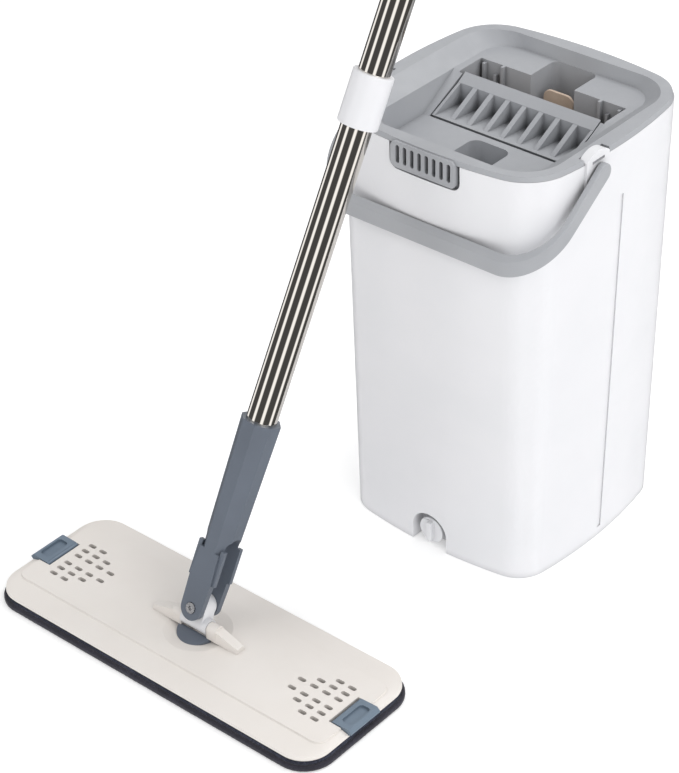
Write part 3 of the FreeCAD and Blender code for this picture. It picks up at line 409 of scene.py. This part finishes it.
def softened(node, material, edge=SOFT_EDGE, steps=2, angle=28.0):
    """A copy of a CAD node with the rounded edges of a moulding, which stands for the node."""
    bm = bmesh.new()
    bm.from_mesh(NODES[node].data)
    bmesh.ops.remove_doubles(bm, verts=bm.verts, dist=WELD)
    bmesh.ops.dissolve_limit(bm, angle_limit=math.radians(0.6), verts=bm.verts, edges=bm.edges)
    piece = new_piece(node + "_moulding", mesh_from(bm, node + "_moulding"), material)
    bevel = piece.modifiers.new("soft", "BEVEL")
    bevel.width = edge
    bevel.segments = steps
    bevel.limit_method = "ANGLE"
    bevel.angle_limit = math.radians(angle)
    bevel.miter_outer = "MITER_ARC"
    bevel.use_clamp_overlap = True
    applied(piece)
    smooth_shaded(piece)
    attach(piece, body_of_node(node))
    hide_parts(node)
    return piece


def repaint(node, material):
    """Gives a CAD node that stays a finished material."""
    mesh = NODES[node].data
    mesh.materials.clear()
    mesh.materials.append(material)


# ---- the pole's axis -----------------------------------------------------------------------
PIN = Vector(JOINTS["yoke_swing"]["pos_m"])
POLE = (Matrix.Translation(PIN) @ Matrix.Rotation(-POLE_LEAN, 4, "X") @ Matrix.Rotation(POLE_TILT, 4, "Y"))


def turned(name, profile, material, nodes, body, steps=ROUND_STEPS):
    """A piece turned about the pole's axis; the closed profile lists (radius, distance up the pole)."""
    bm = bmesh.new()
    rings = []
    for radius, height in profile:
        ring = []
        for i in range(steps):
            turn = 2 * math.pi * i / steps
            spot = Vector((radius * math.cos(turn), radius * math.sin(turn), height))
            ring.append(bm.verts.new(POLE @ spot))
        rings.append(ring)
    for lower, upper in zip(rings, rings[1:] + rings[:1]):
        for i in range(steps):
            j = (i + 1) % steps
            bm.faces.new((lower[i], lower[j], upper[j], upper[i]))
    bmesh.ops.recalc_face_normals(bm, faces=bm.faces)
    piece = new_piece(name, mesh_from(bm, name), material)
    smooth_shaded(piece, 30.0)
    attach(piece, body)
    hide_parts(*nodes)
    return piece


def along_pole(node):
    """The lowest and highest distance up the pole that a node reaches."""
    back = POLE.inverted()
    heights = [(back @ v.co).z for v in NODES[node].data.vertices]
    return min(heights), max(heights)


def rounded_ring(r_in, r_out, low, high, edge):
    """The profile of a sleeve with small round edges outside."""
    profile = [(r_in, low)]
    for k in range(4):
        turn = math.pi / 2 * k / 3
        profile.append((r_out - edge + edge * math.sin(turn), low + edge - edge * math.cos(turn)))
    for k in range(4):
        turn = math.pi / 2 * k / 3
        profile.append((r_out - edge + edge * math.cos(turn), high - edge + edge * math.sin(turn)))
    profile.append((r_in, high))
    return profile


def build_pole():
    """Tubes and sleeves as turned pieces; the yoke, screw, grip and cap keep their CAD shapes."""
    for node in ("lower_tube", "middle_tube", "upper_tube"):
        low, high = along_pole(node)
        turned(node + "_polished", rounded_ring(TUBE_R - TUBE_WALL, TUBE_R, low, high, 0.15 * MM),
               STEEL, [node], "pole")
    for node in ("lower_sleeve", "upper_sleeve"):
        low, high = along_pole(node)
        turned(node + "_moulding", rounded_ring(TUBE_R + SLEEVE_FIT, SLEEVE_R, low, high, 1.0 * MM),
               WHITE, [node], "pole")
    for node in ("lower_tube_plug", "upper_tube_plug"):
        repaint(node, WHITE)
    softened("yoke", DARK_GREY, 1.1 * MM, 3)
    softened("yoke_screw", HARDWARE, SHARP_EDGE)
    softened("yoke_nut", HARDWARE, SHARP_EDGE)
    softened("hand_grip", GRIP, SMALL_EDGE)
    softened("hang_cap", GRIP, 1.2 * MM, 3)
    softened("knuckle", WHITE, SMALL_EDGE, 3)


# ---- bucket --------------------------------------------------------------------------------
def build_bucket():
    """The white shell, the grey tray with its flap and the small pieces of the wringer."""
    softened("bucket_shell", WHITE, SOFT_EDGE, 3)
    softened("wringer_tray", GREY, 1.0 * MM, 3)
    softened("wringer_flap", GREY, 0.5 * MM, 2)
    softened("bail_handle", GREY, THICK_EDGE, 3)
    softened("drain_plug", WHITE, 0.8 * MM, 3)
    softened("guide_channel", TAN, 0.5 * MM, 2)
    softened("scraper_blade", SCRAPER, 0.3 * MM, 2)
    softened("wiper_tongue", SCRAPER, SMALL_EDGE, 3)
    repaint("drain_seal", SEAL)
    for node in ("flap_hinge_rod", "flap_spring_left", "flap_spring_right"):
        repaint(node, HARDWARE)


# ---- mop head ------------------------------------------------------------------------------
def build_head():
    """The plate with its clips, cup and wings."""
    softened("mop_plate", BEIGE, 1.0 * MM, 3, 16.0)
    softened("base_plate", BEIGE, 0.4 * MM)
    softened("joint_cup", DARK_GREY, 0.5 * MM)
    for side in ("left", "right"):
        softened("wing_cap_" + side, BEIGE, 0.7 * MM, 3)
        softened("pad_clip_" + side, BLUE_GREY, SMALL_EDGE, 3)
    repaint("hook_strips", HOOKS)
    repaint("knuckle_axle", HARDWARE)
    repaint("clip_pins", HARDWARE)


def rounded_outline(low, high, radius, height, steps=12):
    """Points round a rectangle with round corners, seen from above."""
    points = []
    centres = [(high.x - radius, high.y - radius), (low.x + radius, high.y - radius),
               (low.x + radius, low.y + radius), (high.x - radius, low.y + radius)]
    for quarter, (cx, cy) in enumerate(centres):
        for k in range(steps + 1):
            turn = math.pi / 2 * (quarter + k / steps)
            points.append(Vector((cx + radius * math.cos(turn), cy + radius * math.sin(turn), height)))
    return points


def swept_loop(name, outline, section, material):
    """A closed loop of a section (outward, up) carried round an outline of (point, outward) pairs."""
    bm = bmesh.new()
    rings = [[bm.verts.new(point + outward * across + Vector((0, 0, up))) for across, up in section(index)]
             for index, (point, outward) in enumerate(outline)]
    for ring, after in zip(rings, rings[1:] + rings[:1]):
        for k in range(len(ring)):
            m = (k + 1) % len(ring)
            bm.faces.new((ring[k], after[k], after[m], ring[m]))
    bmesh.ops.recalc_face_normals(bm, faces=bm.faces)
    piece = new_piece(name, mesh_from(bm, name), material)
    piece.data.shade_smooth()
    return piece


def evenly_round(low, high, inset, pitch):
    """Evenly spaced (point, outward) pairs round the pad's outline."""
    a = Vector((low.x + inset, low.y + inset, 0))
    b = Vector((high.x - inset, high.y - inset, 0))
    corners = rounded_outline(a, b, PAD_CORNER_R - inset, 0.0, 48)
    pairs = list(zip(corners, corners[1:] + corners[:1]))
    total = sum((q - p).length for p, q in pairs)
    count = int(total / pitch)
    places = []
    walked = 0.0
    for p, q in pairs:
        span = (q - p).length
        while span > 0 and len(places) < count and len(places) * total / count <= walked + span:
            along = (q - p).normalized()
            spot = p + along * (len(places) * total / count - walked)
            places.append((spot, Vector((along.y, -along.x, 0))))
        walked += span
    return places


def tape_section(index):
    """The rolled tape's section, as (outward, up) pairs; its width wanders a little along the edge."""
    swell = 1.0 + 0.05 * math.sin(index * 2.1) + 0.03 * math.sin(index * 0.37)
    points = []
    for k in range(16):
        turn = 2 * math.pi * k / 16
        across, up = math.cos(turn), math.sin(turn)
        points.append((math.copysign(abs(across) ** 0.8, across) * BINDING_HALF_W * swell,
                       math.copysign(abs(up) ** 0.7, up) * BINDING_HALF_H))
    return points


def add_stitch(bm, point, out, base):
    """One short stitch of thread that lies along the pad's edge."""
    along = Vector((-out.y, out.x, 0))
    rings = []
    for k in range(7):
        place = (k - 3) / 3
        thick = STITCH_R * math.sqrt(1.02 - place * place)
        centre = point + along * (STITCH_HALF * place) + Vector((0, 0, base))
        ring = []
        for m in range(6):
            turn = math.pi * m / 3
            ring.append(bm.verts.new(centre + out * (thick * math.cos(turn))
                                     + Vector((0, 0, thick * math.sin(turn)))))
        rings.append(ring)
    for ring, after in zip(rings, rings[1:]):
        for m in range(6):
            bm.faces.new((ring[m], ring[(m + 1) % 6], after[(m + 1) % 6], after[m]))
    bm.faces.new(rings[0][::-1])
    bm.faces.new(rings[-1])


def build_binding(low, high):
    """The tape rolled round the pad's edge, with the stitches that hold it."""
    middle = Vector((0, 0, low.z + BINDING_RISE + BINDING_HALF_H))
    outline = [(point + middle, out) for point, out in evenly_round(low, high, BINDING_INSET, BINDING_PITCH)]
    tape = swept_loop("pad_binding_tape", outline, tape_section, BINDING)
    bm = bmesh.new()
    for point, out in evenly_round(low, high, STITCH_INSET, STITCH_PITCH):
        add_stitch(bm, point, out, low.z + STITCH_RISE)
    stitches = new_piece("pad_binding_stitches", mesh_from(bm, "pad_binding_stitches"), THREAD)
    stitches.data.shade_smooth()
    for piece in (tape, stitches):
        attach(piece, "mop_head")


def pile_blank(low, high):
    """The pad's body before it swells: a thick sheet with chamfered edges, inside the binding."""
    bm = bmesh.new()
    shape = [(PILE_INSET + 1.2 * MM, 0.3 * MM), (PILE_INSET, 1.4 * MM), (PILE_INSET, 3.6 * MM),
             (PILE_INSET, 6.0 * MM), (PILE_INSET + 0.9 * MM, 7.1 * MM)]
    rings = []
    for inset, rise in shape:
        a = Vector((low.x + inset, low.y + inset, 0))
        b = Vector((high.x - inset, high.y - inset, 0))
        rings.append([bm.verts.new(p) for p in rounded_outline(a, b, PAD_CORNER_R - inset, low.z + rise)])
    for lower, upper in zip(rings, rings[1:]):
        count = len(lower)
        for i in range(count):
            j = (i + 1) % count
            bm.faces.new((lower[i], lower[j], upper[j], upper[i]))
    bm.faces.new(list(reversed(rings[0])))
    bm.faces.new(rings[-1])
    return mesh_from(bm, "mop_pad_microfibre")


def build_pad():
    """The microfibre pad: a swollen pile body with a bound edge, which replaces its plain CAD solid."""
    low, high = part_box("mop_pad")
    pad = new_piece("mop_pad_microfibre", pile_blank(low, high), PILE)
    remesh = pad.modifiers.new("voxels", "REMESH")
    remesh.mode = "VOXEL"
    remesh.voxel_size = PILE_VOXEL
    applied(pad)
    start = [v.co.copy() for v in pad.data.vertices]
    cloth = pad.modifiers.new("cloth", "CLOTH")
    cloth.settings.use_pressure = True
    cloth.settings.uniform_pressure_force = PILE_PRESSURE
    cloth.settings.effector_weights.gravity = 0.0
    cloth.point_cache.frame_start = 1
    cloth.point_cache.frame_end = PILE_STEPS
    for step in range(1, PILE_STEPS + 1):
        bpy.context.scene.frame_set(step)
    applied(pad)
    for vertex, home in zip(pad.data.vertices, start):
        move = vertex.co - home
        if move.length > PAD_CAP:
            move *= PAD_CAP / move.length
        vertex.co = home + move
        vertex.co.z = min(max(vertex.co.z, low.z + PAD_SKIN), high.z - PAD_SKIN)
    pad.data.materials.clear()
    pad.data.materials.append(PILE)
    pad.data.shade_smooth()
    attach(pad, "mop_head")
    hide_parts("mop_pad")
    build_binding(low, high)


# ---- light, floor and camera ---------------------------------------------------------------
def area_light(name, place, target, size, power):
    """A large soft square lamp that faces the target."""
    lamp = bpy.data.lights.new(name, "AREA")
    lamp.shape = "RECTANGLE"
    lamp.size = size
    lamp.size_y = size
    lamp.energy = power
    holder = bpy.data.objects.new(name, lamp)
    holder.location = place
    holder.rotation_euler = (place - target).to_track_quat("Z", "Y").to_euler()
    bpy.context.scene.collection.objects.link(holder)


def view_back():
    """The direction from the object towards the camera."""
    return Vector((math.sin(VIEW_AZIMUTH) * math.cos(VIEW_ELEVATION),
                   -math.cos(VIEW_AZIMUTH) * math.cos(VIEW_ELEVATION), math.sin(VIEW_ELEVATION)))


def build_floor():
    """A plain pale floor."""
    r = FLOOR_REACH
    mesh = bpy.data.meshes.new("floor")
    mesh.from_pydata([(-r, -r, 0), (r, -r, 0), (r, r, 0), (-r, r, 0)], [], [(0, 1, 2, 3)])
    floor = bpy.data.objects.new("floor", mesh)
    floor.location.z = -FLOOR_DROP
    bpy.context.scene.collection.objects.link(floor)
    shader = Shader("studio_floor", (0.9, 0.9, 0.9, 1.0), 0.7, Specular_IOR_Level=0.1, Emission_Strength=0.3)
    shader.base.inputs["Emission Color"].default_value = (1.0, 1.0, 1.0, 1.0)
    mesh.materials.append(shader.material)
    floor.visible_glossy = False


def compass_turn(tree):
    """The direction that a ray leaves in, seen from above, as 0 to 1."""
    direction = tree.nodes.new("ShaderNodeTexCoord").outputs["Generated"]
    split = tree.nodes.new("ShaderNodeSeparateXYZ")
    tree.links.new(direction, split.inputs["Vector"])
    angle = tree.nodes.new("ShaderNodeMath")
    angle.operation = "ARCTAN2"
    tree.links.new(split.outputs["Y"], angle.inputs[0])
    tree.links.new(split.outputs["X"], angle.inputs[1])
    turn = tree.nodes.new("ShaderNodeMapRange")
    turn.inputs["From Min"].default_value = -math.pi
    turn.inputs["From Max"].default_value = math.pi
    tree.links.new(angle.outputs["Value"], turn.inputs["Value"])
    return turn.outputs["Result"]


def build_room():
    """An even white room; what polished metal mirrors is upright bands of light and dark round it."""
    world = bpy.data.worlds.new("studio")
    bpy.context.scene.world = world
    world.use_nodes = True
    tree = world.node_tree
    soft = tree.nodes["Background"]
    soft.inputs["Color"].default_value = (1.0, 1.0, 1.0, 1.0)
    soft.inputs["Strength"].default_value = ROOM_STRENGTH
    ramp = tree.nodes.new("ShaderNodeValToRGB")
    stops = [((strip + place) / STRIP_LIGHTS, (level, level, level, 1.0))
             for strip in range(STRIP_LIGHTS) for place, level in STRIP_SHARE]
    elements = ramp.color_ramp.elements
    elements[0].position, elements[0].color = stops[0]
    elements[-1].position, elements[-1].color = 1.0, stops[0][1]
    for position, colour in stops[1:]:
        elements.new(position).color = colour
    tree.links.new(compass_turn(tree), ramp.inputs["Fac"])
    mirrored = tree.nodes.new("ShaderNodeBackground")
    mirrored.inputs["Strength"].default_value = MIRROR_STRENGTH
    tree.links.new(ramp.outputs["Color"], mirrored.inputs["Color"])
    path = tree.nodes.new("ShaderNodeLightPath")
    mix = tree.nodes.new("ShaderNodeMixShader")
    tree.links.new(path.outputs["Is Glossy Ray"], mix.inputs["Fac"])
    tree.links.new(soft.outputs["Background"], mix.inputs[1])
    tree.links.new(mirrored.outputs["Background"], mix.inputs[2])
    tree.links.new(mix.outputs["Shader"], tree.nodes["World Output"].inputs["Surface"])


def build_studio(foot):
    """The floor, the room and three soft lamps."""
    build_floor()
    build_room()
    for name, place, aim, size, power in LAMPS:
        area_light(name, foot + place, foot + aim, size, power)


def build_camera(foot):
    """The camera, at the angle of the product picture."""
    back = view_back()
    camera = bpy.data.cameras.new("camera")
    camera.lens = LENS
    camera.sensor_width = 36.0
    camera.clip_end = 50.0
    holder = bpy.data.objects.new("camera", camera)
    holder.location = foot + VIEW_TARGET + back * VIEW_DISTANCE
    aim = back.to_track_quat("Z", "Y").to_matrix().to_4x4()
    holder.rotation_euler = (aim @ Matrix.Rotation(VIEW_ROLL, 4, "Z")).to_euler()
    bpy.context.scene.collection.objects.link(holder)
    bpy.context.scene.camera = holder


shell_low, shell_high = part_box("bucket_shell")
FOOT = Vector(((shell_low.x + shell_high.x) / 2, (shell_low.y + shell_high.y) / 2, shell_low.z))

build_bucket()
build_head()
build_pole()
build_pad()
build_studio(FOOT)
build_camera(FOOT)
bpy.context.scene.view_settings.view_transform = "Standard"
